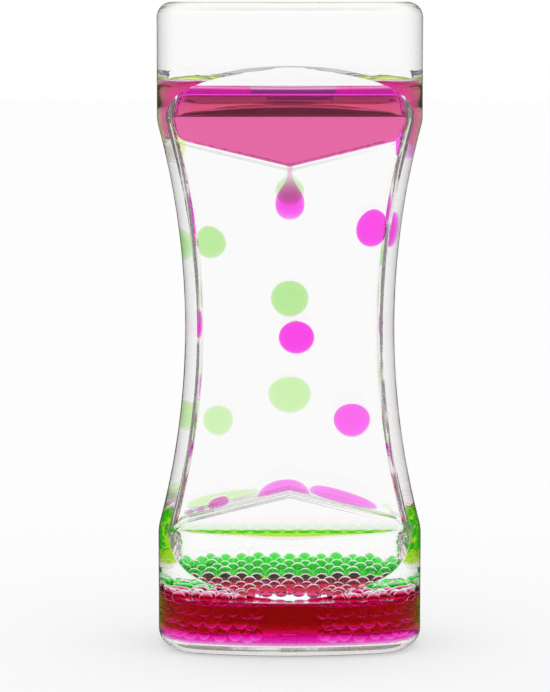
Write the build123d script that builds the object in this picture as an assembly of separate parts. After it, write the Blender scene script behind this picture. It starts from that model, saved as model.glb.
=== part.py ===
"""Liquid motion timer: a clear hourglass case in two halves, with a pink and a green chamber.

Millimetres, +Z up. The origin is the middle of the base, which stands on the table. The case is
turned, then flattened front and rear, so it is wider than it is deep.
The front of the timer, its pink chamber, faces -Y. The green chamber faces +Y.
Dyed water drips through a V plate near the top of each chamber, falls through clear oil,
lands on a roof near the bottom, and gathers under it. Turned over, it all runs again.
"""

import math
import os

from build123d import *

# Case
height = 140.0
cup_radius = 28.75
waist_half_width = 22.8
cup_length = 25.6
end_round = 3.3
cup_edge_round = 9.0
wall = 2.3

# Each face: cups that bulge a little, and between them a flat window with slanted shoulders
cup_half_depth = 20.0
cup_face_radius = 70.0
window_half_depth = 11.0
lower_shoulder_foot = 26.0
lower_shoulder_head = 12.8
upper_shoulder_foot = 24.2
upper_shoulder_head = 14.2
shoulder_round = 2.0

# Divider and glue
divider_thickness = 1.2
divider_lip = 1.0
divider_clearance = 0.1
glue_thickness = 0.16
glue_inset = 0.05

# V plates and roofs
plate_thickness = 1.0
plate_slope = 13.6
upper_tip_depth = 35.1
lower_tip_depth = 33.2
plate_bend = 5.0
closed_end_clearance = 0.95
open_end_gap = 2.7
closed_end_height = 4.93
drip_hole_radius = 0.75

# Fill plugs
plug_radius = 1.65
plug_length = 4.0
plug_head_radius = 2.4
plug_head_height = 0.8
plug_recess = 0.15
plug_place = 12.0

# Liquids
film = 0.02
drop_clearance = 0.15
wall_clearance = 0.3
pink_level_depth = 16.6
green_level_depth = 15.9
lower_pool_level = 10.4
bubble_radius = 1.4
bubble_clearance = 0.12
run_length = 2.4
run_round = 0.9

# Hanging drops: the neck's radius and length, the widest radius and the length below the plate
neck_radius = 0.55
neck_length = 1.4
hanging_radius = 3.2
hanging_waist_share = 0.62
pink_hanging_length = 11.6
green_hanging_length = 8.9

# How far a cutting shape runs past what it cuts
overrun = 5.0

# Falling drops. Across is a share of the way from the middle to the side wall, height a share
# of the timer's. Width, rise and fall are shares of the chamber's depth: rise and fall are the
# half heights above and below the widest place. Lean is in degrees, towards the side wall.
falling_shares = {
    "pink_centre_drop": (0.092, 0.486, 0.965, 0.447, 0.447, 0),
    "pink_side_upper_drop": (1.0, 0.6625, 0.83, 0.47, 0.56, 10),
    "pink_side_lower_drop": (0.8, 0.357, 0.985, 0.455, 0.455, 0),
    "green_centre_upper_drop": (0.0, 0.5413, 1.03, 0.495, 0.495, 0),
    "green_centre_lower_drop": (0.0, 0.3913, 1.16, 0.5, 0.51, 0),
    "green_side_upper_drop": (1.0, 0.6288, 0.82, 0.46, 0.43, 14),
    "green_side_lower_drop": (0.888, 0.351, 0.81, 0.41, 0.42, 0),
}
drop_depth_share = 0.9
lean_room_share = 0.1

# Drops that lie on a roof. Start and end are shares of the way from its apex to its open end.
# Thickness is a share of the chamber's depth.
lying_shares = {
    "pink_roof_slug": (1, 0.225, 0.83, 0.33),
    "pink_roof_drop_large": (-1, 0.575, 0.775, 0.24),
    "pink_roof_drop_middle": (-1, 0.8, 0.875, 0.13),
    "pink_roof_drop_small": (-1, 0.91, 0.975, 0.12),
    "green_roof_slug": (-1, 0.29, 0.985, 0.27),
    "green_roof_drop": (1, 0.88, 0.965, 0.15),
}
lying_depth_share = 0.62
landed_shares = (-0.31, 0.195, 0.36)
gap_drop_shares = (0.4, 0.75)

# Values that follow from the sizes above
middle = height / 2
hourglass_reach = middle - cup_length
hourglass_dip = cup_radius - waist_half_width
hourglass_radius = (hourglass_reach**2 + hourglass_dip**2) / (2 * hourglass_dip)
hourglass_centre = waist_half_width + hourglass_radius
shoulder_run = cup_half_depth - window_half_depth
lower_shoulder_rise = lower_shoulder_foot - lower_shoulder_head
lower_shoulder_slant = math.hypot(lower_shoulder_rise, shoulder_run)
chamber_depth = window_half_depth - wall - divider_thickness / 2
chamber_middle = divider_thickness / 2 + chamber_depth / 2
slope = math.tan(math.radians(plate_slope))
roof_apex = lower_tip_depth + plate_thickness / math.cos(math.radians(plate_slope))


def half_width(z, inset=0.0):
    """Half width of the case, seen from the front, at height z and set inwards by inset."""
    off_middle = min(abs(z - middle), hourglass_reach)
    radius = hourglass_radius + inset
    return hourglass_centre - math.sqrt(radius**2 - off_middle**2)


def turned_body(inset):
    """The case as turned on a lathe: round cups at both ends and a concave waist."""
    radius = cup_radius - inset
    corner = max(end_round - inset, end_round / 4)
    reach = math.sqrt((hourglass_radius + inset) ** 2 - (hourglass_centre - radius) ** 2)
    low = inset
    high = height - inset
    bend = corner * math.sqrt(0.5)
    outline = [
        Line((0, low), (radius - corner, low)),
        ThreePointArc(
            (radius - corner, low),
            (radius - corner + bend, low + corner - bend),
            (radius, low + corner),
        ),
        Line((radius, low + corner), (radius, middle - reach)),
        ThreePointArc(
            (radius, middle - reach),
            (waist_half_width - inset, middle),
            (radius, middle + reach),
        ),
        Line((radius, middle + reach), (radius, high - corner)),
        ThreePointArc(
            (radius, high - corner),
            (radius - corner + bend, high - corner + bend),
            (radius - corner, high),
        ),
        Line((radius - corner, high), (0, high)),
        Line((0, high), (0, low)),
    ]
    profile = make_face(Curve() + outline)
    cup_edges = profile.vertices().filter_by(
        lambda v: abs(v.X - radius) < cup_radius / 100
        and abs(abs(v.Y - middle) - reach) < cup_radius / 100
    )
    profile = fillet(cup_edges, cup_edge_round - inset)
    return revolve(Plane.XZ * profile, Axis.Z)


def shoulder_line(foot, head, reach, inset):
    """How far from its end of the case a shoulder's plane meets the window, and is at a depth."""
    rise = foot - head
    slant = math.hypot(rise, shoulder_run)
    steep = rise / shoulder_run
    corner = foot - shoulder_run / slant * inset + steep * (1 - rise / slant) * inset
    return corner, corner - steep * (reach - window_half_depth + inset)


def window_space(inset):
    """Space behind the front window and beyond both shoulders, with their meetings rounded."""
    depth = window_half_depth - inset
    reach = cup_radius + overrun
    low, far_low = shoulder_line(lower_shoulder_foot, lower_shoulder_head, reach, inset)
    high, far_high = shoulder_line(upper_shoulder_foot, upper_shoulder_head, reach, inset)
    points = [
        (reach, far_low - overrun),
        (-reach, far_low - overrun),
        (-reach, far_low),
        (-depth, low),
        (-depth, height - high),
        (-reach, height - far_high),
        (-reach, height - far_high + overrun),
        (reach, height - far_high + overrun),
    ]
    side = make_face(Polyline(*points, close=True))
    meetings = [
        side.vertices().sort_by_distance((-depth, z, 0))[0]
        for z in (low, height - high)
    ]
    side = fillet(meetings, shoulder_round + inset)
    return extrude(Plane.YZ * side, amount=reach, both=True)


def cup_space(inset):
    """Space behind the bulging front of the cups, rounded at both ends of the case."""
    corner = max(end_round - inset, end_round / 4)
    block = Pos(0, cup_face_radius - cup_half_depth, middle) * Cylinder(
        cup_face_radius - inset, height - 2 * inset
    )
    return fillet(block.edges().filter_by(GeomType.CIRCLE), corner)


def half_space(side, gap):
    """Everything on one side of the mid-plane, -1 for the front and 1 for the rear."""
    reach = cup_radius + overrun
    thick = reach - gap
    centre = side * (gap + thick / 2)
    return Pos(0, centre, middle) * Box(2 * reach, thick, height + 2 * overrun)


def half_case(side, inset, gap):
    """One half of the case's form, set inwards and held off the mid-plane by a gap."""
    front = turned_body(inset) & half_space(-1, gap)
    front = front & cup_space(inset) & window_space(inset)
    return front if side < 0 else mirror(front, Plane.XZ)


def slab(low, high):
    """A layer across the whole case between two heights."""
    reach = 2 * (cup_radius + overrun)
    return Pos(0, 0, (low + high) / 2) * Box(reach, reach, high - low)


def through(points, rounds=()):
    """A front outline carried through the case. rounds holds (point number, radius) pairs."""
    face = make_face(Polyline(*points, close=True))
    for number, radius in rounds:
        x, z = points[number]
        corner = face.vertices().sort_by_distance((x, z, 0))[0]
        face = fillet(corner, radius)
    return extrude(Plane.XZ * face, amount=cup_radius + overrun, both=True)


def single(shape):
    """The largest solid of a shape, to drop slivers that a cut leaves."""
    return shape.solids().sort_by(SortBy.VOLUME)[-1]


def oil_bodies(space):
    """The oil under the upper pool and the oil over it: the two largest solids of a space."""
    return Compound(space.solids().sort_by(SortBy.VOLUME)[-2:])


def turned_over(shape):
    """A shape of the upper end, carried to the lower end."""
    return mirror(shape, Plane.XY.offset(middle))


def open_end(tip_depth):
    """Where the plate stops short of the side wall, from the middle."""
    rim_depth = tip_depth - slope * waist_half_width
    return half_width(rim_depth, wall) - open_end_gap


def under_tray(tip_depth, lift, closed_side):
    """What lies under an upper plate's tray face, or under its back where lift is the thickness."""
    drop = lift / math.cos(math.radians(plate_slope))
    closed = -(cup_radius - wall - closed_end_clearance + lift)
    end = open_end(tip_depth)
    tip = height - tip_depth - drop
    rim = tip - slope * closed + drop + closed_end_height
    reach = -(cup_radius + overrun)
    points = [
        (reach, rim),
        (closed, rim),
        (closed, tip - slope * closed),
        (0, tip),
        (end, tip + slope * end),
        (end, 0),
        (reach, 0),
    ]
    body = through(points, [(2, plate_bend + lift)])
    return body if closed_side < 0 else mirror(body, Plane.YZ)


def plate(hollow, side, tip_depth, closed_side):
    """One V plate: a bent strip with a closed end, an open end and a drip hole at its tip."""
    strip = under_tray(tip_depth, 0, closed_side) - under_tray(
        tip_depth, plate_thickness, closed_side
    )
    hole = Pos(0, side * chamber_middle, height - tip_depth) * Cylinder(
        drip_hole_radius, overrun
    )
    return single((strip & hollow) - hole)


def hanging_drop(side, tip_depth, length):
    """A pear-shaped drop on a thin neck through the drip hole."""
    top = height - tip_depth
    bottom = top - length
    widest = bottom + hanging_radius
    neck_end = top - neck_length
    curve = Spline(
        (neck_radius, neck_end),
        (hanging_radius * hanging_waist_share, (neck_end + widest) / 2),
        (hanging_radius, widest),
        tangents=[(0, -1), (0, -1)],
    )
    face = make_face(
        Curve()
        + [
            Line((0, top + plate_thickness), (neck_radius, top + plate_thickness)),
            Line((neck_radius, top + plate_thickness), (neck_radius, neck_end)),
            curve,
            ThreePointArc(
                (hanging_radius, widest),
                (
                    hanging_radius * math.sqrt(0.5),
                    widest - hanging_radius * math.sqrt(0.5),
                ),
                (0, bottom),
            ),
            Line((0, bottom), (0, top + plate_thickness)),
        ]
    )
    return Pos(0, side * chamber_middle, 0) * revolve(Plane.XZ * face, Axis.Z)


def upper_pool(hollow, side, tip_depth, closed_side, level_depth, length):
    """Dyed water in the tray of the upper plate, with the run at its open end."""
    level = height - level_depth
    end = open_end(tip_depth)
    run_bottom = height - tip_depth + slope * end - plate_thickness - run_length
    run = through(
        [
            (end + film, run_bottom),
            (cup_radius, run_bottom),
            (cup_radius, level),
            (end + film, level),
        ],
        [(0, run_round)],
    )
    if closed_side > 0:
        run = mirror(run, Plane.YZ)
    tray = slab(height - tip_depth - overrun, level) - under_tray(
        tip_depth, 0, closed_side
    )
    low_x = -closed_side * (end - film)
    past_x = -closed_side * (cup_radius + overrun)
    out_of_tray = through(
        [
            (min(low_x, past_x), 0),
            (max(low_x, past_x), 0),
            (max(low_x, past_x), height - tip_depth + slope * end),
            (min(low_x, past_x), height - tip_depth + slope * end),
        ]
    )
    water = (tray - out_of_tray) + run
    water = single(water & hollow)
    return water + hanging_drop(side, tip_depth, length)


def bubble_places(side):
    """Places of the landed bubbles: a triangular grid over the floor, clear of every wall."""
    pitch = 2 * bubble_radius + bubble_clearance
    row_pitch = pitch * math.sqrt(0.75)
    level = lower_pool_level + bubble_clearance + bubble_radius
    off_wall = wall + bubble_radius + bubble_clearance
    room = cup_radius - off_wall
    first = divider_thickness / 2 + bubble_clearance + bubble_radius
    rows = int((cup_half_depth - off_wall - first) / row_pitch) + 1
    places = []
    for row in range(rows):
        y = first + row * row_pitch
        up = (cup_half_depth - y) * lower_shoulder_rise / shoulder_run
        below = (lower_shoulder_head + up - level) * shoulder_run / lower_shoulder_slant
        if below < off_wall:
            break
        from_centre = y + cup_face_radius - cup_half_depth
        bulge = math.sqrt((cup_face_radius - off_wall) ** 2 - from_centre**2)
        reach = min(math.sqrt(room**2 - y**2), bulge)
        shift = 0.5 * (row % 2)
        count = int(reach / pitch) + 1
        for column in range(-count, count + 1):
            x = (column + shift) * pitch
            if abs(x) < reach:
                places.append((x, side * y, level))
    return places


def bubbles(side):
    """The landed bubbles of one chamber, as separate solids in one layer."""
    ball = Sphere(bubble_radius)
    return [Pos(*place) * ball for place in bubble_places(side)]


def ellipsoid(half_x, half_y, half_z):
    """A unit ball scaled to three half lengths."""
    return scale(Sphere(1), by=(half_x, half_y, half_z))


def egg(half_x, half_y, rise, fall):
    """A drop with its own half height above and below the widest place."""
    reach = 2 * (half_x + half_y + rise + fall)
    top = ellipsoid(half_x, half_y, rise) & (Pos(0, 0, reach / 2) * Box(reach, reach, reach))
    low = ellipsoid(half_x, half_y, fall) & (Pos(0, 0, -reach / 2) * Box(reach, reach, reach))
    return top + low


def falling_drop(name, grow=0.0):
    """One falling drop in its place, or the room it takes in the oil when grown."""
    across, up, width, rise, fall, lean = falling_shares[name]
    side = -1 if name.startswith("pink") else 1
    outwards = 1 if name.startswith("pink") else -1
    z = up * height
    half_x = width * chamber_depth / 2
    side_room = half_width(z, wall) - wall_clearance - half_x - hourglass_dip * lean_room_share
    x = across * side_room
    half_y = min(drop_depth_share * chamber_depth / 2, half_x)
    body = egg(
        half_x + grow,
        half_y + grow,
        rise * chamber_depth + grow,
        fall * chamber_depth + grow,
    )
    return Pos(outwards * x, side * chamber_middle, z) * (Rot(0, outwards * lean, 0) * body)


def lying_drop(name, grow=0.0):
    """A drop flattened on a roof's slope, or the room it takes in the oil when grown."""
    towards, start, end, thick = lying_shares[name]
    side = -1 if name.startswith("pink") else 1
    reach = open_end(lower_tip_depth)
    middle_x = (start + end) / 2 * reach
    half_long = (end - start) / 2 * reach / math.cos(math.radians(plate_slope))
    thickness = thick * chamber_depth
    half_y = lying_depth_share * chamber_depth / 2
    dome = ellipsoid(half_long + grow, half_y + grow, thickness + grow)
    box = 2 * (half_long + half_y + thickness)
    dome = dome & (Pos(0, 0, box / 2 - grow) * Box(box, box, box))
    base = roof_apex - slope * middle_x
    lifted = (wall_clearance - film) / math.cos(math.radians(plate_slope))
    tilted = Rot(0, towards * plate_slope, 0) * dome
    return Pos(towards * middle_x, side * chamber_middle, base + lifted) * tilted


def landed_drop():
    """The drop that has just landed: a low dome over both slopes of the front roof."""
    start, end, thick = landed_shares
    reach = open_end(lower_tip_depth)
    half_x = (end - start) / 2 * reach
    half_y = lying_depth_share * chamber_depth / 2
    height_over = thick * chamber_depth
    x = (end + start) / 2 * reach
    foot = roof_apex - slope * half_x
    dome = ellipsoid(half_x, half_y, roof_apex + height_over - foot)
    above_roof = turned_over(under_tray(lower_tip_depth, plate_thickness, -1))
    return single(Pos(x, -chamber_middle, foot) * dome & above_roof)


def gap_drop(grow=0.0):
    """The drop that falls from the open end of the rear roof into the pool."""
    half_x, half_z = (share * open_end_gap for share in gap_drop_shares)
    end = open_end(lower_tip_depth)
    y = divider_thickness / 2 + wall_clearance + half_x
    top = roof_apex - slope * end - plate_thickness
    body = ellipsoid(half_x + grow, half_x + grow, half_z + grow)
    return Pos(-(end + open_end_gap / 2), y, top - half_z) * body


def post(radius, low, high):
    """A round post between two heights."""
    return Pos(0, 0, (low + high) / 2) * Cylinder(radius, high - low)


def plug(side):
    """A fill plug: a round head in the base and a shank up through it."""
    head = post(plug_head_radius, plug_recess, plug_recess + plug_head_height)
    shank = post(plug_radius, plug_recess, plug_recess + plug_length)
    return Pos(0, side * plug_place, 0) * (head + shank)


def plug_cut(side):
    """The stepped hole that a plug fills, open at the base."""
    head = post(plug_head_radius + film, -overrun, plug_recess + plug_head_height)
    shank = post(plug_radius + film, -overrun, plug_recess + plug_length)
    return Pos(0, side * plug_place, 0) * (head + shank)


def seam_plate(thickness, inset):
    """A flat plate on the mid-plane with the case's outline set inwards."""
    layer = Pos(0, 0, middle) * Box(
        2 * (cup_radius + overrun), thickness, height + 2 * overrun
    )
    return turned_body(inset) & layer


def write(name, shape):
    """Writes one node's STEP file."""
    os.makedirs("parts", exist_ok=True)
    export_step(shape, os.path.join("parts", name + ".step"))


def main():
    lip_inset = wall - divider_lip
    divider = seam_plate(divider_thickness, lip_inset)
    rebate = seam_plate(divider_thickness, lip_inset - divider_clearance)
    glue_ring = seam_plate(glue_thickness, glue_inset)
    rebate_wide = seam_plate(2 * divider_thickness, lip_inset - divider_clearance)
    nodes = {
        "divider_plate": divider,
        "seam_adhesive": glue_ring - rebate_wide,
    }

    for side, name in ((-1, "front"), (1, "rear")):
        shell = half_case(side, 0, glue_thickness / 2) - half_case(side, wall, 0)
        nodes[name + "_shell"] = shell - rebate - plug_cut(side)
        nodes[name + "_fill_plug"] = plug(side)

    chambers = {
        "front": ("pink", -1, pink_level_depth, pink_hanging_length),
        "rear": ("green", 1, green_level_depth, green_hanging_length),
    }
    for name, (colour, side, level_depth, length) in chambers.items():
        chamber = half_case(side, wall + film, divider_thickness / 2 + film)
        closed_side = side
        upper = plate(chamber, side, upper_tip_depth, closed_side)
        lower = turned_over(plate(chamber, side, lower_tip_depth, closed_side))
        nodes[name + "_upper_baffle"] = upper
        nodes[name + "_lower_baffle"] = lower
        pool = upper_pool(
            chamber, side, upper_tip_depth, closed_side, level_depth, length
        )
        pool = single(pool - upper)
        nodes[colour + "_upper_pool"] = pool
        floor = chamber & slab(0, lower_pool_level)
        floor = single(floor - plug(side))
        nodes[colour + "_lower_pool"] = floor
        balls = bubbles(side)
        nodes[colour + "_lower_bubbles"] = Compound(balls)
        bubble_top = lower_pool_level + 2 * (bubble_radius + bubble_clearance)
        taken = [upper, lower, pool, slab(0, bubble_top)]
        if colour == "pink":
            landed = landed_drop()
            nodes["pink_landed_drop"] = landed
            taken.append(landed)
        for drop in falling_shares:
            if drop.startswith(colour):
                nodes[drop] = falling_drop(drop)
                taken.append(falling_drop(drop, drop_clearance))
        for drop in lying_shares:
            if drop.startswith(colour):
                nodes[drop] = lying_drop(drop)
                taken.append(lying_drop(drop, drop_clearance))
        if colour == "green":
            nodes["green_gap_drop"] = gap_drop()
            taken.append(gap_drop(drop_clearance))
        nodes[name + "_oil"] = oil_bodies(chamber - taken)

    for name, shape in nodes.items():
        write(name, shape)
        solids = len(shape.solids())
        print(f"{name}: {solids} solids, {shape.volume:.2f} mm3")


main()
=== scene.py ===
# %% [markdown]
# # A liquid motion timer
# A clear hourglass case stands on a table. It is two moulded halves, glued along the middle, with
# a flat plate between them, so there are two chambers: pink in front and green behind. Dyed water
# drips through a V plate at the top of each chamber, sinks through clear oil as round drops, runs
# down a roof near the bottom and gathers under it. The CAD gives the frame, and this file makes
# its looks: clear plastic, clear oil and coloured water, each bending light as the real one does.

import bpy
import bmesh
import numpy as np
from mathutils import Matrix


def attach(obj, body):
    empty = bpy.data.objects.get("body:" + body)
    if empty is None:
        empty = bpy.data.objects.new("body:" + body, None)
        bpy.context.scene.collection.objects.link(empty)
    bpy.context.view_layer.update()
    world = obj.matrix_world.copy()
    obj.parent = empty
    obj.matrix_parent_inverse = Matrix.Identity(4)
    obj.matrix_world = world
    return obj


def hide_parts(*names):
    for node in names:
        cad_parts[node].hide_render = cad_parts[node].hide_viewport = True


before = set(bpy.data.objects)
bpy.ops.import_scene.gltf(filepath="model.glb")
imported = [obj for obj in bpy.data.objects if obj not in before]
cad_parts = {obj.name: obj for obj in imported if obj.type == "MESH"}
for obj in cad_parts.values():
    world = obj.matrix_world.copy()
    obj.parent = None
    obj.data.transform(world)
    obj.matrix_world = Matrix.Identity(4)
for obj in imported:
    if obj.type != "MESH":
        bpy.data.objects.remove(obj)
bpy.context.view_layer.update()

mm = 0.001

# %% [markdown]
# The case's sizes are those of the CAD model, in metres. It is turned like an hourglass, then
# flattened: the cups at both ends bulge a little towards the front and the rear, and between
# them each face has a flat window, with a flat slanted shoulder above and below it.

# %% Sizes of the case
height = 140 * mm
middle = height / 2
cup_radius = 28.75 * mm
waist_half_width = 22.8 * mm
cup_length = 25.6 * mm
end_round = 3.3 * mm
wall = 2.3 * mm
cup_half_depth = 20 * mm
cup_face_radius = 70 * mm
window_half_depth = 11 * mm
lower_foot, lower_head = 26 * mm, 12.8 * mm
upper_foot, upper_head = 24.2 * mm, 14.2 * mm
half_divider = 0.6 * mm
half_glue = 0.08 * mm
film = 0.03 * mm

reach = middle - cup_length
dip = cup_radius - waist_half_width
hourglass_radius = (reach**2 + dip**2) / (2 * dip)
hourglass_centre = waist_half_width + hourglass_radius
shoulder_run = cup_half_depth - window_half_depth
cup_face_centre = cup_face_radius - cup_half_depth
print("hourglass radius mm:", round(hourglass_radius / mm, 1))

# %% [markdown]
# A moulded edge is never knife sharp. A Bevel modifier could round it, but here the edges run
# where two curved surfaces cross at a changing angle. So the smaller or the larger of two distances
# is taken, with a short blend between them. The blend is a parabola as wide as the named width,
# which gives every edge its small radius and lets the shading run smoothly over it.

# %% Blends of two distances
def smooth_least(a, b, width):
    """The smaller of a and b, less (width - difference) squared over 4 widths where they differ by
    less than width."""
    near = np.maximum(width - np.abs(a - b), 0)
    return np.minimum(a, b) - near**2 / (4 * width)


def smooth_most(a, b, width):
    """The larger of a and b, blended in the same way."""
    return -smooth_least(-a, -b, width)


# %% Distances from the axis and from the middle plane
edge_blend = 0.36 * mm
crease_blend = 0.12 * mm
ridge_blend = 2.4 * mm
shoulder_blend = 0.5 * mm


def end_corner(inset):
    """Radius of the rounded edge at both ends of the case: smaller inside, but never sharp."""
    return max(end_round - inset, end_round / 4)


def round_radius(z, inset):
    """Radius of the turned body at height z: the smaller of the cup's and of the hourglass's arc."""
    off = np.abs(z - middle)
    arc = hourglass_centre - np.sqrt((hourglass_radius + inset) ** 2 - off**2)
    return smooth_least(arc, np.full_like(arc, cup_radius - inset), edge_blend)


def end_shrink(z, inset):
    """How far the rounded end draws the sides in at height z: the corner's radius, less the root of
    its square less the square of how far z is into it."""
    corner = end_corner(inset)
    into = np.clip(np.abs(z - middle) - (middle - inset - corner), 0, corner)
    return corner - np.sqrt(corner**2 - into**2)


def face_depth(z, inset):
    """Depth of the front face: the flat window, or the slanted shoulder where that lies deeper."""
    upper = z > middle
    foot, head = np.where(upper, upper_foot, lower_foot), np.where(upper, upper_head, lower_head)
    rise = foot - head
    slant = np.hypot(rise, shoulder_run)
    from_end = np.where(upper, height - z, z)
    shoulder = window_half_depth + (foot - from_end) * shoulder_run / rise - slant / rise * inset
    return smooth_most(shoulder, np.full_like(shoulder, window_half_depth - inset), shoulder_blend + inset)


def chamber_depth(x, z, inset):
    """How far the case reaches from the middle plane at (x, z): the least of the turned body, the
    bulging cup and the face."""
    shrink = end_shrink(z, inset)
    turned = np.sqrt(np.maximum((round_radius(z, inset) - shrink) ** 2 - x**2, 0))
    bulge = np.sqrt((cup_face_radius - inset - shrink) ** 2 - x**2) - cup_face_centre
    return np.minimum(smooth_least(turned, bulge, ridge_blend), face_depth(z, inset))


print("half depth at the waist and at a cup mm:", chamber_depth(0.0, np.array([middle, 8 * mm]), 0.0) / mm)

# %% [markdown]
# The Screw modifier could spin a profile, but this case isn't round. So every surface is a grid of
# points, worked out as one array, and a closed loop of columns makes it a tube. Where a row shrinks
# to a point or a line, the doubled points are merged, so seams and poles are closed, and the faces
# are then turned outwards.

# %% Turning a grid into a piece
def grid_faces(rows, columns):
    """Quads of a grid whose last column joins the first, four corner numbers each."""
    row, column = np.meshgrid(np.arange(rows - 1), np.arange(columns), indexing="ij")
    after = (column + 1) % columns
    corners = (row * columns + column, row * columns + after)
    above = (corners[1] + columns, corners[0] + columns)
    return np.stack(corners + above, -1).reshape(-1, 4)


def new_piece(name, points, faces, materials, slots=None, body="case", node=(), sharp=32):
    """A mesh object from points and quads: doubles merged, normals outwards, and smooth but for
    edges over sharp degrees."""
    mesh = bpy.data.meshes.new(name)
    mesh.from_pydata(points.reshape(-1, 3).tolist(), [], faces.tolist())
    for material in materials:
        mesh.materials.append(material)
    if slots is not None:
        mesh.polygons.foreach_set("material_index", slots.ravel().tolist())
    made = bmesh.new()
    made.from_mesh(mesh)
    bmesh.ops.remove_doubles(made, verts=made.verts, dist=1e-7)
    bmesh.ops.dissolve_degenerate(made, edges=made.edges, dist=1e-8)
    bmesh.ops.recalc_face_normals(made, faces=made.faces)
    open_edges = sum(not edge.is_manifold for edge in made.edges)
    made.to_mesh(mesh)
    made.free()
    mesh.shade_smooth()
    mesh.set_sharp_from_angle(angle=np.radians(sharp))
    piece = bpy.data.objects.new(name, mesh)
    bpy.context.scene.collection.objects.link(piece)
    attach(piece, body)
    if node:
        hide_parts(*([node] if isinstance(node, str) else node))
    print(name, "faces", len(mesh.polygons), "open edges", open_edges)
    return piece


# %% [markdown]
# Clear plastic could be a Principled material, but a plain glass shader is easier to follow here.
# Light bends at its outer face, and hardly at all where the plastic meets the oil, because both
# bend light almost alike. So the inner face has the ratio of the two. A faint grey is painted where
# a face is seen edge on: this painted shade draws the thin dark outlines that the dimmer parts of a
# room give clear things.

# %% Helpers for node trees
def node_maker(tree):
    """Empty a node tree, and return a function that adds a node and sets its sockets by name."""
    tree.nodes.clear()

    def node(kind, **values):
        new = tree.nodes.new(kind)
        for key, value in values.items():
            if key in new.inputs:
                new.inputs[key].default_value = value
            else:
                setattr(new, key, value)
        return new

    return node


def wire(tree, *links):
    """Join sockets, each link given as (node, its output, other node, its input)."""
    for start, output, end, entry in links:
        tree.links.new(start.outputs[output], end.inputs[entry])


def ramp(node, low, high, start=0.0, end=1.0):
    """A Map Range: what runs from low to high runs from start to end, and stays there beyond."""
    limits = {"From Min": low, "From Max": high, "To Min": start, "To Max": end}
    return node("ShaderNodeMapRange", **limits)


def material(name):
    """A new node material, its tree and the function that adds its nodes."""
    made = bpy.data.materials.new(name)
    made.use_nodes = True
    return made, made.node_tree, node_maker(made.node_tree)


# %% Helpers for clear materials
def moulded_bump(tree, node, scale, strength, distance):
    """Slow waves of a moulded or a liquid face, from noise on Object coordinates."""
    place = node("ShaderNodeTexCoord")
    noise = node("ShaderNodeTexNoise", Scale=scale, Detail=2.0)
    bump = node("ShaderNodeBump", Strength=strength, Distance=distance)
    wire(tree, (place, "Object", noise, "Vector"), (noise, 0, bump, "Height"))
    return bump


def clear_face(name, ior, painted_edge_shade, edge_power, bump=None, colour=None, density=0.0):
    """Glass that bends light by ior, tinted towards a painted edge shade where a face turns away from the
    eye.
    With a density it also takes light evenly: in each metre, each colour falls off by density
    times (1 - colour)."""
    made, tree, node = material(name)
    out = node("ShaderNodeOutputMaterial")
    glass = node("ShaderNodeBsdfGlass", IOR=ior, Roughness=0.0)
    turned = node("ShaderNodeLayerWeight", Blend=0.5)
    power = node("ShaderNodeMath", operation="POWER")
    power.inputs[1].default_value = edge_power
    # Painted shade: the glass colour runs from white to the edge shade as the face turns edge on.
    tint = node("ShaderNodeMix", data_type="RGBA")
    tint.inputs[6].default_value = (1, 1, 1, 1)
    tint.inputs[7].default_value = (*painted_edge_shade, 1)
    wire(tree, (turned, "Facing", power, 0), (power, 0, tint, 0), (tint, 2, glass, "Color"))
    wire(tree, (glass, 0, out, "Surface"))
    if bump:
        wire(tree, (moulded_bump(tree, node, *bump), 0, glass, "Normal"))
    if density:
        dye = node("ShaderNodeVolumeAbsorption", Color=(*colour, 1), Density=density)
        wire(tree, (dye, 0, out, "Volume"))
    return made


def see_through(name, colour):
    """A face that light passes without bending, and takes a faint tint from."""
    made, tree, node = material(name)
    face = node("ShaderNodeBsdfTransparent", Color=(*colour, 1))
    wire(tree, (face, 0, node("ShaderNodeOutputMaterial"), "Surface"))
    return made


# %% [markdown]
# The room is white all round, as in a light tent. A reflection, though, sees a dimmer room low
# down, because the camera's side of a studio is unlit, and a bright one above. What comes through
# the plastic from high up is dimmer too, where the tent's lid is. That makes the dark band in the
# upper pool.

# %% Room
scene = bpy.context.scene
scene.view_settings.view_transform = "Standard"
scene.cycles.max_bounces = 64
scene.cycles.transmission_bounces = 64
scene.cycles.glossy_bounces = 16
scene.cycles.transparent_max_bounces = 64

room = bpy.data.worlds.new("white_room")
scene.world = room
room.use_nodes = True
sky = room.node_tree
node = node_maker(sky)
sky_out = node("ShaderNodeOutputWorld")
sky_light = node("ShaderNodeBackground", Color=(1, 1, 1, 1))
sky_path = node("ShaderNodeLightPath")
sky_place = node("ShaderNodeTexCoord")
sky_split = node("ShaderNodeSeparateXYZ")
sky_low = ramp(node, 0.1, 0.8, 0.04, 1.0)
sky_high = ramp(node, 0.42, 0.6, 1.0, 0.15)
sky_mirror = node("ShaderNodeMath", operation="SUBTRACT", use_clamp=True)
sky_mix = node("ShaderNodeMix", A=1.0)
sky_through = node("ShaderNodeMix")
wire(
    sky,
    (sky_place, "Generated", sky_split, 0),
    (sky_split, "Z", sky_low, "Value"),
    (sky_split, "Z", sky_high, "Value"),
    (sky_path, "Is Glossy Ray", sky_mirror, 0),
    (sky_path, "Is Transmission Ray", sky_mirror, 1),
    (sky_mirror, 0, sky_mix, "Factor"),
    (sky_low, 0, sky_mix, "B"),
    (sky_path, "Is Transmission Ray", sky_through, "Factor"),
    (sky_mix, 0, sky_through, "A"),
    (sky_high, 0, sky_through, "B"),
    (sky_through, 0, sky_light, "Strength"),
    (sky_light, 0, sky_out, "Surface"),
)

# %% [markdown]
# The table is a white circle, large enough to reach the horizon of every view. It is a plain matt
# face that keeps the object's shadow, lightened a little for the camera. Light that came through
# the plastic finds it plain white, as a lit table is, and a reflection finds it dim.

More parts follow.
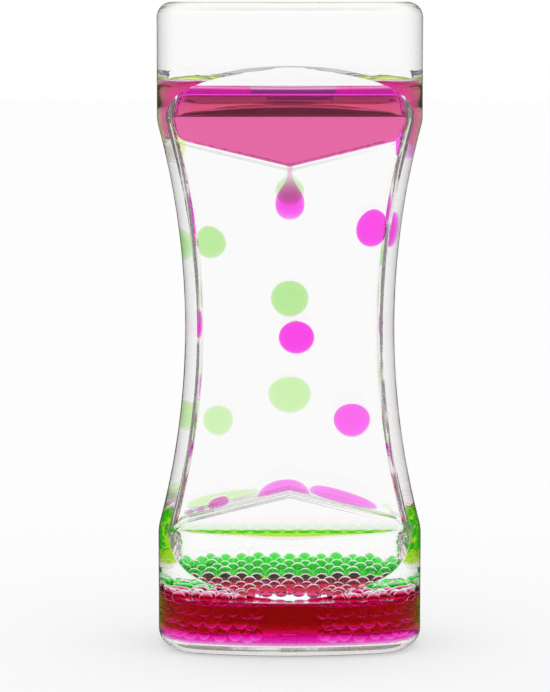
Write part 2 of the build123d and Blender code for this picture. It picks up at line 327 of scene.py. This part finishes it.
# %% Floor
bpy.ops.mesh.primitive_circle_add(vertices=96, radius=4, fill_type="NGON", location=(0, 0, -0.1 * mm))
floor = bpy.context.object
floor.name = "floor"
floor_paint, tree, node = material("floor_white")
floor_out = node("ShaderNodeOutputMaterial")
floor_face = node("ShaderNodeBsdfDiffuse", Color=(0.97, 0.97, 0.97, 1))
floor_white = node("ShaderNodeEmission")
floor_path = node("ShaderNodeLightPath")
floor_mirror = node("ShaderNodeMath", operation="SUBTRACT", use_clamp=True)
floor_lit = ramp(node, 0.0, 1.0, 1.0, 0.03)
floor_through = node("ShaderNodeMath", operation="MAXIMUM")
floor_seen = node("ShaderNodeMath", operation="MULTIPLY")
floor_seen.inputs[1].default_value = 0.5
floor_share = node("ShaderNodeMath", operation="MAXIMUM")
floor_mix = node("ShaderNodeMixShader")
wire(
    tree,
    (floor_path, "Is Glossy Ray", floor_mirror, 0),
    (floor_path, "Is Transmission Ray", floor_mirror, 1),
    (floor_mirror, 0, floor_lit, "Value"),
    (floor_lit, 0, floor_white, "Strength"),
    (floor_path, "Is Glossy Ray", floor_through, 0),
    (floor_path, "Is Transmission Ray", floor_through, 1),
    (floor_path, "Is Camera Ray", floor_seen, 0),
    (floor_through, 0, floor_share, 0),
    (floor_seen, 0, floor_share, 1),
    (floor_share, 0, floor_mix, "Fac"),
    (floor_face, 0, floor_mix, 1),
    (floor_white, 0, floor_mix, 2),
    (floor_mix, 0, floor_out, "Surface"),
)
floor.data.materials.append(floor_paint)

# %% [markdown]
# The camera stands 0.7 m in front, level with the top of the case, and looks down at its middle
# by 6 degrees. So near, it sees the base from a little above and the top edge on, which is what
# sets the curves of the liquids in the picture.

# %% Camera
focal_pixels, image_height = 3226, 692
lens = bpy.data.cameras.new("camera")
camera = bpy.data.objects.new("camera", lens)
scene.collection.objects.link(camera)
scene.camera = camera
lens.sensor_width = 36
lens.lens = 36 * focal_pixels / image_height
camera.location = (-0.0032, -0.70, 0.140)
camera.rotation_euler = (np.radians(90 - 6.09), 0, 0)
print("camera at", tuple(camera.location), "lens mm:", round(lens.lens, 1))

# %% [markdown]
# The real case is moulded as two shells. A Boolean could cut them from a solid, but it leaves long
# thin faces that shade badly. So each half is one tube of points. The outer face runs from one seam
# to the other, then comes the seam's flat rim with its step for the plate between the halves, then
# the inner face runs back, and the other rim closes the loop. The columns crowd at the edge of the
# window, so that this edge is smooth all the way up.

# %% Rows and columns of a half
def case_rows(inset):
    """Rows up the case as (share, radius, shrink, z): the base's disc by shares of its radius, its
    rounded edge, the side, and the same at the top the other way round."""
    corner = end_corner(inset)
    flat = cup_radius - inset - corner
    turn = np.radians(np.linspace(0, 90, 8))[1:]
    low = inset + corner
    steps = [(3.3, 11, 9), (11, 15, 12), (15, 24, 9), (24, 29, 14), (29, 111, 60), (111, 116, 14)]
    steps += [(116, 125, 9), (125, 129, 12), (129, 136.7, 9)]
    share = np.concatenate([np.linspace(a, b, n, endpoint=False) for a, b, n in steps]) * mm
    share = (share - share[0]) / (height - 2 * share[0])
    side = low + share[1:] * (height - 2 * low)
    out_to, inwards = flat + corner * np.sin(turn), corner * (1 - np.sin(turn))
    up_by = corner * np.cos(turn)
    rows = [
        (np.linspace(0, 1, 12), flat, corner, inset),
        (1, out_to, inwards, low - up_by),
        (1, round_radius(side, inset), 0, side),
        (1, out_to[::-1], inwards[::-1], (height - low + up_by)[::-1]),
        (np.linspace(1, 0, 12), flat, corner, height - inset),
    ]
    return [np.concatenate(part) for part in zip(*(np.broadcast_arrays(*row) for row in rows))]


def outline_radius(sine, radius, shrink, inset):
    """Distance from the axis to the cup's outline, in the direction with this sine off the seam: to
    the circle or to the bulge, whichever is nearer."""
    far = cup_face_radius - inset - shrink
    bulge = -sine * cup_face_centre + np.sqrt(far**2 - cup_face_centre**2 * (1 - sine**2))
    return smooth_least(np.broadcast_to(radius, bulge.shape), bulge, ridge_blend)


def face_radius(sine, z, inset):
    """Distance from the axis to the window or shoulder in that direction: its depth over the sine."""
    return np.clip(face_depth(z, inset), 0, 1) / np.maximum(sine, 0.02)


def case_angles(radius, shrink, z, inset):
    """Angles of the columns in each row, crowded at the window's edge, which halving finds in each row."""
    low, high = np.zeros_like(z), np.full_like(z, np.pi / 2)
    for _ in range(40):
        half = (low + high) / 2
        outside = face_radius(np.sin(half), z, inset) > outline_radius(np.sin(half), radius, shrink, inset)
        low, high = np.where(outside, half, low), np.where(outside, high, half)
    edge = np.clip(low, 0.1, np.pi / 2 - 0.16)[:, None]
    near = 0.016
    round_part = np.linspace(0, 1, 19)[:-1] * (edge - near)
    crease = edge + np.linspace(-near, near, 7)
    flat_part = (edge + near) + np.linspace(0, 1, 34)[1:] * (np.pi / 2 - edge - near)
    quarter = np.concatenate([round_part, crease, flat_part], 1)
    return np.concatenate([quarter, np.pi - quarter[:, -2::-1]], 1)


def case_sheet(inset, gap, side):
    """Points of one face of a half: the outline cut by window and shoulder, x and y by cosine and
    sine, and y at least gap."""
    share, radius, shrink, z = case_rows(inset)
    angles = case_angles(radius, shrink, z, inset)
    sine = np.sin(angles)
    cut = outline_radius(sine, radius[:, None], shrink[:, None], inset)
    cut = share[:, None] * smooth_least(cut, face_radius(sine, z[:, None], inset), crease_blend)
    y = side * np.maximum(cut * sine, gap)
    return np.stack([-cut * np.cos(angles), y, np.broadcast_to(z[:, None], y.shape)], -1)


def seam_line(inset, gap, side, end):
    """The row ends of a sheet at one seam: (+-radius, gap, z)."""
    share, radius, shrink, z = case_rows(inset)
    return np.stack([end * share * radius, np.full_like(z, side * gap), z], -1)[:, None]


# %% [markdown]
# The outer face has faint slow waves, as moulded plastic has. Under the base it is finely grained:
# there light from the table comes in evenly, which lights up the lowest part of the pool. Where a
# half meets the glue there is no air, so the seam's face lets light straight through.

# %% Finishes of the case
# The grey edge colours here are painted shade, which draws the case's dark outlines and crease lines.
plastic = clear_face("case_plastic", 1.49, (0.78, 0.77, 0.75), 5.0, bump=(60.0, 0.05, 0.0002))
inner_plastic = clear_face("case_inner_face", 1.02, (0.8, 0.79, 0.77), 6.0)
underside, tree, node = material("case_underside")
foot_out = node("ShaderNodeOutputMaterial")
foot_glass = node("ShaderNodeBsdfGlass", IOR=1.49, Roughness=0.0)
foot_grain = node("ShaderNodeBsdfTranslucent", Color=(0.98, 0.98, 0.98, 1))
foot_place = node("ShaderNodeTexCoord")
foot_noise = node("ShaderNodeTexNoise", Scale=900.0, Detail=2.0)
foot_cut = ramp(node, 0.2, 0.45)
foot_mix = node("ShaderNodeMixShader")
wire(
    tree,
    (foot_place, "Object", foot_noise, "Vector"),
    (foot_noise, 0, foot_cut, "Value"),
    (foot_cut, 0, foot_mix, "Fac"),
    (foot_glass, 0, foot_mix, 1),
    (foot_grain, 0, foot_mix, 2),
    (foot_mix, 0, foot_out, "Surface"),
)
seam_clear = see_through("seam_clear", (0.98, 0.975, 0.97))

# %% The two halves
lip = 1.2 * mm
step = half_divider + 0.01 * mm
rim_gaps = (half_glue, step)


def half_case(name, side):
    """Outer face, rim, inner face and rim again as one closed loop of columns."""
    outer = case_sheet(0.0, half_glue, side)
    inner = case_sheet(wall, step, side)[:, ::-1]
    right_rim = [seam_line(lip, rim_gap, side, 1) for rim_gap in rim_gaps]
    left_rim = [seam_line(lip, rim_gap, side, -1) for rim_gap in rim_gaps[::-1]]
    points = np.concatenate([outer, *right_rim, inner, *left_rim], 1)
    rows, columns = points.shape[:2]
    slots = np.zeros((rows - 1, columns), int)
    across = outer.shape[1]
    slots[:, across - 1 : across + 2] = 2
    slots[:, across + 2 : -3] = 1
    slots[:, -3:] = 2
    foot = points[:-1, :across, 2].max(1) < 0.1 * mm
    slots[foot, : across - 1] = 3
    faces = grid_faces(rows, columns)
    node = name.split("_")[0] + "_shell"
    finishes = [plastic, inner_plastic, seam_clear, underside]
    piece = new_piece(name, points, faces, finishes, slots, node=node)
    return piece


half_case("front_case_half", -1)
half_case("rear_case_half", 1)

# %% [markdown]
# The water is dyed, and sinks in the oil. It bends light a little less than the oil does. A colour
# on its surface would look like paint, so its colour is a volume that takes light evenly, and a
# thin place looks pale and a deep one dark. Drops bend light hardly at all, because the real ones
# show no dark rims. Each pool has its own material, since Cycles follows a volume by object and
# material; several drops of one colour share one.

# %% Coloured water
def water(name, colour, density, ior=0.913, bump=None):
    """Dyed water in oil: it bends light less than the oil, and takes its colour in depth."""
    # The near-white edge colour is a faint painted shade at the rims of the water.
    return clear_face(name, ior, (0.98, 0.98, 0.98), 3.0, bump, colour, density)


pink_pool = water("pink_pool_water", (1.0, 0.0, 0.91), 225.0, bump=(60.0, 0.02, 0.0002))
green_pool = water("green_pool_water", (0.74, 0.92, 0.0), 95.0, bump=(60.0, 0.02, 0.0002))
pink_drop = water("pink_drop_water", (1.0, 0.09, 0.94), 400.0, ior=0.99)
green_drop = water("green_drop_water", (0.39, 0.87, 0.05), 150.0, ior=0.99)
pink_drop_pale = water("pink_drop_water_pale", (1.0, 0.09, 0.95), 280.0, ior=0.99)
green_drop_pale = water("green_drop_water_pale", (0.44, 0.91, 0.02), 104.0, ior=0.99)
pink_floor = water("pink_floor_water", (1.0, 0.0, 0.83), 400.0)
green_floor = water("green_floor_water", (0.77, 0.94, 0.0), 350.0)

# %% [markdown]
# A fluid simulation could fill the case, but water in oil at rest has a simple shape. It fills the
# chamber from wall to wall and is level on top. Oil wets the plastic and water doesn't, so the
# water's top edge is round along every wall. Each pool is one closed loop of points at each place
# across: up the divider, over the top, down the wall and back along the bottom. The hanging drop is
# a pear on the pool's drip hole.

# %% Sizes of the liquids and plates
gap = 0.62 * mm
chamber_middle = 4.65 * mm
inner_radius = cup_radius - wall - film
tray_tip = 104.9 * mm
slope = np.tan(np.radians(13.6))
tray_wall = 25.46 * mm
tray_bend = 5.0 * mm
tray_rim = 116.03 * mm
open_end = 22.66 * mm
run_bottom = 106.98 * mm
run_corner = 0.9 * mm
floor_level = 11.7 * mm
bubble_level = 10.4 * mm
edge_corner = 1.7 * mm


def wall_reach(z):
    """How far across the liquid reaches at height z, where the chamber is one gap deep."""
    return np.sqrt(round_radius(z, wall + film) ** 2 - gap**2) - 0.01 * mm


def tray_profile():
    """Places across and heights of the upper pool's bottom: over the rim, round the bend, down and
    up the V, and up the side of the run at the open end."""
    top = wall_reach(np.array([tray_rim]))[0]
    rim = np.linspace(-top, -tray_wall, 9)
    turn = np.radians(np.linspace(0, 76.4, 12))
    bend_x = -tray_wall + tray_bend * (1 - np.cos(turn))
    bend_z = tray_tip + slope * 20.5 * mm + tray_bend / np.cos(np.radians(13.6)) - tray_bend * np.sin(turn)
    plate_x = np.concatenate([np.linspace(bend_x[-1], 0, 24)[1:], np.linspace(0, open_end, 24)[1:]])
    arc = np.radians(np.linspace(0, 90, 7))
    run_x = open_end + run_corner * (1 - np.cos(arc))
    run_z = run_bottom + run_corner * (1 - np.sin(arc))
    wall_z = np.linspace(run_bottom, tray_rim, 16)
    x = [rim, bend_x, plate_x, run_x, wall_reach(wall_z)]
    z = [np.full_like(rim, tray_rim), bend_z, tray_tip + slope * np.abs(plate_x), run_z, wall_z]
    return np.concatenate(x), np.concatenate(z)


def floor_profile():
    """Places across and heights of the lower pool's bottom: flat, and rounded up at both ends."""
    corner = end_corner(wall + film)
    reach = wall_reach(np.array([floor_level]))[0]
    turn = np.radians(np.linspace(0, 90, 8))
    end = reach - corner + corner * np.sin(turn)
    half = np.concatenate([np.linspace(0, end[0], 30)[:-1], end])
    rise = np.concatenate([np.zeros(29), corner * (1 - np.cos(turn))])
    x = np.concatenate([-half[:0:-1], half])
    return x, wall + film + np.concatenate([rise[:0:-1], rise])


def pool_points(x, low, level, side):
    """Loops of points: z from low to the top, y from gap to the wall, both top edges quarter circles
    of edge_corner. Each end loop closes on its own middle point."""
    near_end = np.clip(edge_corner - np.minimum(x - x[0], x[-1] - x), 0, edge_corner)
    top = level - edge_corner + np.sqrt(edge_corner**2 - near_end**2)
    deep = np.maximum(chamber_depth(x, top, wall + film), gap)
    corner = np.minimum(edge_corner, 0.48 * np.minimum(deep - gap, top - low))
    corner = np.where(deep - gap < 0.01 * mm, 0, corner)[:, None]
    x, low, top = x[:, None], low[:, None], top[:, None]
    turn = np.radians(np.linspace(0, 90, 8))[None]
    up = np.linspace(0, 1, 9)[None, :-1]
    down = np.linspace(0, 1, 26)[None, 1:-1]

    def at_wall(z):
        return np.maximum(chamber_depth(x, z, wall + film), gap)

    back_z = low + (top - corner - low) * up
    arc_z = top - corner * (1 - np.sin(turn))
    front_z = top - corner - (top - corner - low) * down
    foot_y = at_wall(low) + (gap - at_wall(low)) * np.linspace(0, 1, 9)[None, :-1]
    y = [np.full_like(back_z, gap), gap + corner * (1 - np.cos(turn))]
    y += [(at_wall(arc_z) - corner * (1 - np.cos(turn)))[:, ::-1], at_wall(front_z), foot_y]
    z = [back_z, arc_z, arc_z[:, ::-1], front_z, np.broadcast_to(low, foot_y.shape)]
    y, z = np.concatenate(y, 1), np.concatenate(z, 1)
    loops = np.stack([np.broadcast_to(x, y.shape), side * y, z], -1)
    ends = loops[[0, -1]] * 0 + loops[[0, -1]].mean(1, keepdims=True)
    return np.concatenate([ends[:1], loops, ends[1:]])


# %% Hanging drops
def hanging_points(side, tip, length, widest=3.2 * mm):
    """Rings of a pear: the neck's radius, a sine rise to the widest place, then a half circle. In
    plan a ring is a squarish superellipse."""
    neck = 0.55 * mm
    bottom = tip - length
    centre = bottom + widest
    start = tip - 1.2 * mm
    share = np.linspace(0, 1, 24)
    body_z = start + (centre - start) * share
    body_r = neck + (widest - neck) * (share - np.sin(2 * np.pi * share) / (2 * np.pi)) ** 0.8
    turn = np.radians(np.linspace(0, 90, 12))[1:]
    neck_z = np.linspace(tip - 0.02 * mm, start, 6)[:-1]
    z = np.concatenate([neck_z[:1], neck_z, body_z, centre - widest * np.sin(turn)])
    r = np.concatenate([[0], np.full(5, neck), body_r, widest * np.cos(turn)])
    round_by = np.linspace(0, 2 * np.pi, 49)[:-1]
    across = np.sign(np.cos(round_by)) * np.abs(np.cos(round_by)) ** 0.6
    deep = np.sign(np.sin(round_by)) * np.abs(np.sin(round_by)) ** 0.6
    x = r[:, None] * across
    y = side * chamber_middle + r[:, None] * deep
    return np.stack([x, y, np.broadcast_to(z[:, None], x.shape)], -1)


def join(*grids):
    """Points and quads of several grids, one after the other."""
    faces, start = [], 0
    for grid in grids:
        faces.append(grid_faces(*grid.shape[:2]) + start)
        start += grid.shape[0] * grid.shape[1]
    return np.concatenate([grid.reshape(-1, 3) for grid in grids]), np.concatenate(faces)


# %% Pools in the trays, with their hanging drops
x, low = tray_profile()
mirrored = np.array([-1, 1, 1])
for name, side, level, length, finish, slot in (
    ("pink_pool_in_the_tray", -1, 123.4 * mm, 11.6 * mm, pink_pool, "pink_water"),
    ("green_pool_in_the_tray", 1, 124.1 * mm, 8.9 * mm, green_pool, "green_water"),
):
    tray = pool_points(x, low, level, side)
    drop = pink_drop if side < 0 else green_drop
    if side > 0:
        tray = tray * mirrored
    points, faces = join(tray)
    piece = new_piece(name, points, faces, [finish], node=name.split("_")[0] + "_upper_pool", sharp=60)
    points, faces = join(hanging_points(side, tray_tip, length))
    piece = new_piece(name.split("_")[0] + "_hanging_drop", points, faces, [drop], sharp=60)

# %% Pools on the floor
x, low = floor_profile()
for name, side, finish, slot in (
    ("pink_pool_on_the_floor", -1, pink_floor, "pink_water"),
    ("green_pool_on_the_floor", 1, green_floor, "green_water"),
):
    points, faces = join(pool_points(x, low, floor_level, side))
    piece = new_piece(name, points, faces, [finish], node=name.split("_")[0] + "_lower_pool", sharp=60)

# %% [markdown]
# A falling drop is wide beside the shallow chamber, so it is pressed a little flat between the
# window and the divider, like a thick coin with a round rim. That is why it shows one even
# colour, and why a plain ball would be wrong. Its outline is an egg, and a superellipse carries the
# outline from the front to the rear. Each drop rides on its own body, because it moves.

# %% Falling drops
def coin(outline_x, outline_z, centre, half_y, flatness=6.0):
    """Shells of an outline: shrunk towards its middle by cos(v), and moved by half_y times sin(v),
    both to the power of 2 over flatness."""
    v = np.concatenate([np.linspace(-90, -60, 7), np.linspace(-60, 60, 26)[1:-1], np.linspace(60, 90, 7)])
    v = np.radians(v)[:, None]
    shrink = np.cos(v).clip(0, 1) ** (2 / flatness)
    shrink[[0, -1]] = 0
    depth = half_y * np.sign(np.sin(v)) * np.abs(np.sin(v)) ** (2 / flatness)
    middle_x, middle_z, y = centre
    px = middle_x + (outline_x[None] - middle_x) * shrink
    pz = middle_z + (outline_z[None] - middle_z) * shrink
    return np.stack([px, np.broadcast_to(y + depth, px.shape), pz], -1)


def egg_outline(x, z, half_x, rise, fall, pinch, lean):
    """An egg: x is half_x cos(u) (1 - pinch sin(u)), z is rise or fall times sin(u), and then it is
    turned by lean degrees."""
    u = np.linspace(0, 2 * np.pi, 73)[:-1]
    across = half_x * np.cos(u) * (1 - pinch * np.sin(u))
    along = np.where(np.sin(u) > 0, rise, fall) * np.sin(u)
    c, s = np.cos(np.radians(lean)), np.sin(np.radians(lean))
    return x + across * c + along * s, z - across * s + along * c


# Each row: place across and height, half width, rise above and fall below it, pinch and lean.
falling = {
    "pink_centre_drop": (1.44, 68.0, 3.9, 3.6, 3.6, 0.0, 0, pink_drop),
    "pink_side_upper_drop": (17.75, 92.0, 3.35, 3.8, 4.5, 0.12, 14, pink_drop),
    "pink_side_lower_drop": (13.43, 49.98, 4.0, 3.7, 3.7, -0.06, 0, pink_drop_pale),
    "green_centre_upper_drop": (0.0, 75.8, 4.15, 4.0, 4.0, -0.03, 0, green_drop),
    "green_centre_lower_drop": (0.0, 54.8, 4.7, 4.0, 4.1, -0.05, 0, green_drop_pale),
    "green_side_upper_drop": (-17.2, 88.1, 3.3, 3.7, 3.5, 0.1, -22, green_drop),
    "green_side_lower_drop": (-15.63, 49.1, 3.3, 3.3, 3.4, -0.08, 0, green_drop_pale),
}
for name, (x, z, half_x, rise, fall, pinch, lean, finish) in falling.items():
    side = -1 if name.startswith("pink") else 1
    outline = egg_outline(x * mm, z * mm, half_x * mm, rise * mm, fall * mm, pinch, lean)
    points, faces = join(coin(*outline, (x * mm, z * mm, side * chamber_middle), min(3.6, half_x) * mm))
    piece = new_piece(name + "_round", points, faces, [finish], body=name, node=name, sharp=60)

# %% [markdown]
# A drop that lands on a roof spreads along the slope and slides down it on a film of oil. It could
# be a ball pressed flat by a Lattice, but its outline against the slope is what shows, so that is
# drawn first, and then the same coin form gives it its depth. The drop that has just landed lies
# across the apex with a leg on each slope.

# %% Drops on the roofs
roof_tip = 33.2 * mm + 1.03 * mm


def slug_outline(start, end, thick_start, thick_end, lift=0.28 * mm):
    """A long drop on a slope from x start to end: a superellipse whose thickness runs from one value
    to the other."""
    u = np.linspace(0, 2 * np.pi, 97)[:-1]
    across = np.sign(np.cos(u)) * np.abs(np.cos(u)) ** 0.8
    up = np.sign(np.sin(u)) * np.abs(np.sin(u)) ** 0.9
    thick = (thick_start + thick_end) / 2 + (thick_end - thick_start) / 2 * across
    low = np.where(up < 0, 0.35, 0.65) * up + 0.35
    x = (start + end) / 2 + (end - start) / 2 * across
    base = roof_tip - slope * np.abs(x) + lift
    return x, base + thick * low


# Each row: its two ends across, and its thickness at each.
lying = {
    "pink_roof_slug": (4.3, 19.0, 3.3, 2.4, pink_drop_pale),
    "pink_roof_drop_large": (-17.8, -13.2, 2.3, 2.5, pink_drop_pale),
    "pink_roof_drop_middle": (-20.2, -18.4, 1.25, 1.3, pink_drop_pale),
    "pink_roof_drop_small": (-22.5, -20.95, 1.2, 1.2, pink_drop_pale),
    "green_roof_slug": (-22.7, -6.6, 2.9, 1.7, green_drop_pale),
    "green_roof_drop": (20.3, 22.3, 1.4, 1.3, green_drop_pale),
}
for name, (start, end, first, last, finish) in lying.items():
    side = -1 if name.startswith("pink") else 1
    outline = slug_outline(start * mm, end * mm, first * mm, last * mm)
    centre = ((start + end) / 2 * mm, float(np.mean(outline[1])), side * chamber_middle)
    half_y = min(2.5, (end - start) * 0.6) * mm
    points, faces = join(coin(*outline, centre, half_y, flatness=4.0))
    piece = new_piece(name + "_round", points, faces, [finish], body=name, node=name, sharp=60)


def landed_outline():
    """The drop over the apex: its under side follows both slopes, and its back is a low arch over a
    softened apex."""
    s = np.cos(np.linspace(0, np.pi, 49))
    x = -1.3 * mm + 5.75 * mm * s
    under = roof_tip - slope * np.abs(x) + 0.28 * mm
    soft = roof_tip - slope * np.sqrt(x**2 + (3.0 * mm) ** 2) + 0.6 * mm
    thick = (1 - np.abs(s) ** 2.6) ** 0.5
    over = under + (soft + 2.95 * mm - under) * thick
    foot = under + (over - under) * 0.6 * (1 - (1 - np.abs(s) ** 10) ** 0.5)
    return np.concatenate([x, x[-2:0:-1]]), np.concatenate([over, foot[-2:0:-1]])


outline = landed_outline()
centre = (-1.3 * mm, roof_tip + 1.3 * mm, -chamber_middle)
points, faces = join(coin(*outline, centre, 2.4 * mm, flatness=4.0))
landed = "pink_landed_drop"
piece = new_piece(landed + "_round", points, faces, [pink_drop_pale], node=landed, sharp=60)

outline = egg_outline(-24.5 * mm, 25.6 * mm, 1.05 * mm, 2.0 * mm, 2.0 * mm, 0.1, 0)
points, faces = join(coin(*outline, (-24.5 * mm, 25.6 * mm, 1.98 * mm), 1.0 * mm, flatness=3.0))
lost = "green_gap_drop"
piece = new_piece(lost + "_round", points, faces, [green_drop], body=lost, node=lost, sharp=60)

# %% [markdown]
# Drops that have landed don't merge at once. They lie on the pool side by side like fish roe, each
# a few millimetres across. A particle system could strew them, but it would leave holes and
# overlaps. Their places are a triangular grid with small seeded shifts, and one small ball of a few
# dozen faces is repeated at each place, with its own radius.

# %% Landed bubbles
pink_bubble = water("pink_bubble_water", (0.95, 0.0, 0.55), 1300.0)
green_bubble = water("green_bubble_water", (0.0, 0.9, 0.0), 1000.0)


def ball_grid(rings=7, around=12):
    """A unit ball as rings from pole to pole."""
    v, u = np.linspace(0, np.pi, rings), np.linspace(0, 2 * np.pi, around + 1)[:-1]
    x, y = np.outer(np.sin(v), np.cos(u)), np.outer(np.sin(v), np.sin(u))
    return np.stack([x, y, np.outer(np.cos(v), np.ones(around))], -1)


def bubble_places(seed, side):
    """Centres and radii of the bubbles: rows 2.72 mm apart and 3.5 mm along the row, shifted by
    chance, and clear of the walls."""
    chance = np.random.default_rng(seed)
    row, column = np.meshgrid(np.arange(7), np.arange(-9, 10), indexing="ij")
    x = (column + 0.5 * (row % 2)).ravel() * 3.5 * mm
    y = (2.25 * mm + row.ravel() * 2.72 * mm)
    x = x + chance.uniform(-0.25, 0.25, x.shape) * mm
    y = y + chance.uniform(-0.2, 0.2, x.shape) * mm
    radius = chance.uniform(1.45, 1.78, x.shape) * mm
    z = bubble_level + 0.12 * mm + radius * 0.9
    room = chamber_depth(x, z + 0.5 * radius, wall + film)
    side_room = np.sqrt(np.maximum(inner_radius**2 - x**2, 0))
    kept = (y + radius < room - 0.1 * mm) & (y + radius < side_room - 0.1 * mm)
    kept &= (np.abs(x) > 9 * mm) | (y < 11.5 * mm) | (side > 0)
    return np.stack([x, side * y, z], -1)[kept], radius[kept]


roe = (("pink_lower_bubbles", 3, -1, pink_bubble), ("green_lower_bubbles", 8, 1, green_bubble))
for name, seed, side, finish in roe:
    centres, radius = bubble_places(seed, side)
    balls = [centre + ball_grid() * size * np.array([1, 1, 0.9]) for centre, size in zip(centres, radius)]
    points, faces = join(*balls)
    piece = new_piece(name + "_round", points, faces, [finish], node=name, sharp=180)
    print(name, "bubbles:", len(centres))

# %% [markdown]
# Some drops press on the clear wall. Under the pool's top they show only as thin bright outlines in
# the red, where a film of oil is left between two drops. More dye would make them dark discs, so
# each is a ball with no colour that bends light a very little, and only its rim is seen, darkened
# a little by painted shade.

# %% Drops that press on the wall
def wall_balls(seed, side):
    """Balls in a grid on the wall, by angle off the middle and by height, every other row shifted
    by half a step, each 0.25 mm clear of the wall."""
    chance = np.random.default_rng(seed)
    angles, heights = np.radians(np.arange(24, 84, 7.2)), np.arange(4.6, 12.5, 2.6) * mm
    angle, z = np.meshgrid(angles, heights, indexing="ij")
    angle = angle + np.radians(3.6) * (np.round(z / mm / 2.6) % 2)
    angle = angle + np.radians(chance.uniform(-1, 1, z.shape))
    z = z + chance.uniform(-0.3, 0.3, z.shape) * mm
    radius = chance.uniform(1.25, 1.7, z.shape) * mm
    angle = np.concatenate([angle.ravel(), np.pi - angle.ravel()])
    z, radius = np.tile(z.ravel(), 2), np.tile(radius.ravel(), 2)
    sine = np.cos(angle)
    reach = outline_radius(np.abs(sine), cup_radius - wall - film, 0.0, wall + film) - radius - 0.25 * mm
    turned = np.where(np.arange(angle.size) < angle.size // 2, 1, -1)
    x, y = reach * np.sin(angle) * turned, reach * np.abs(sine)
    kept = y > radius + gap + 0.2 * mm
    return np.stack([x, side * y, z], -1)[kept], radius[kept]


# Painted shade: a grey tint at the rim of each ball, where it is seen edge on.
film_of_oil = clear_face("film_between_drops", 0.96, (0.9, 0.9, 0.9), 3.0)
for name, seed, side in (("pink_drops_at_the_wall", 5, -1), ("green_drops_at_the_wall", 6, 1)):
    centres, radius = wall_balls(seed, side)
    balls = [centre + ball_grid(9, 16) * size for centre, size in zip(centres, radius)]
    points, faces = join(*balls)
    piece = new_piece(name, points, faces, [film_of_oil], sharp=180)
    print(name, "balls:", len(centres))

# %% [markdown]
# The two halves and the divider are glued along the seam. Glue that squeezed out lies along the
# inner corner as a rough bead, frosted in patches where it pulled away, and clear elsewhere. A
# fine noise gives the grain and a slow one says where the patches are.

# %% Glue
frosted, tree, node = material("glue_frosted")
glue_out = node("ShaderNodeOutputMaterial")
glue_place = node("ShaderNodeTexCoord")
grain = node("ShaderNodeTexNoise", Scale=1400.0, Detail=3.0)
patches = node("ShaderNodeTexNoise", Scale=75.0, Detail=2.0)
grain_cut, patch_cut = ramp(node, 0.3, 0.5), ramp(node, 0.42, 0.5)
both = node("ShaderNodeMath", operation="MULTIPLY")
clear = node("ShaderNodeBsdfTransparent", Color=(0.99, 0.985, 0.985, 1))
rough_face = node("ShaderNodeBsdfDiffuse", Color=(0.93, 0.91, 0.9, 1))
let_through = node("ShaderNodeBsdfTranslucent", Color=(0.97, 0.95, 0.94, 1))
frost, glue_mix = node("ShaderNodeMixShader"), node("ShaderNodeMixShader")
wire(
    tree,
    (glue_place, "Object", grain, "Vector"),
    (glue_place, "Object", patches, "Vector"),
    (grain, 0, grain_cut, "Value"),
    (patches, 0, patch_cut, "Value"),
    (grain_cut, 0, both, 0),
    (patch_cut, 0, both, 1),
    (rough_face, 0, frost, 1),
    (let_through, 0, frost, 2),
    (both, 0, glue_mix, "Fac"),
    (clear, 0, glue_mix, 1),
    (frost, 0, glue_mix, 2),
    (glue_mix, 0, glue_out, "Surface"),
)


def squeezed_glue(side):
    """A closed bead all round: (inset, y) pairs in mm carried along the case's outline, up the right
    side and down the left."""
    bead = [
        (1.3, 0.602), (2.28, 0.602), (2.5, 0.605), (2.72, 0.63), (2.7, 0.7),
        (2.5, 0.73), (2.36, 0.69), (2.33, 0.609), (1.3, 0.609),
    ]
    right, left = (
        np.concatenate([seam_line(inset * mm, y * mm, side, end) for inset, y in bead], 1)
        for end in (1, -1)
    )
    return np.concatenate([right, left[::-1]])


for name, side in (("glue_bead_front", -1), ("glue_bead_rear", 1)):
    points, faces = join(squeezed_glue(side))
    piece = new_piece(name, points, faces, [frosted], sharp=60)

# %% [markdown]
# The CAD model's plates, divider, plugs, glue ring and oils have the right shape already, so they
# stay as they are and only get a finish. The plates lie in oil, which bends light almost as they
# do, so only their edges show, drawn darker by painted shade. The oil is all but unseen: any tint
# would show its pockets as pale ghosts when the drops move away.

# %% Plates, glue and oil
# Painted shade: grey where a plate's face is seen edge on.
plate_plastic = clear_face("plate_plastic", 1.02, (0.8, 0.8, 0.78), 4.0)
clear_oil = see_through("clear_oil", (0.9985, 0.9985, 0.998))
for name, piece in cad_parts.items():
    finish = None
    if name.endswith("baffle") or name == "divider_plate" or name.endswith("plug"):
        finish = plate_plastic
    elif name == "seam_adhesive":
        finish = seam_clear
    elif name.endswith("oil"):
        finish = clear_oil
    if finish:
        piece.data.materials.clear()
        piece.data.materials.append(finish)
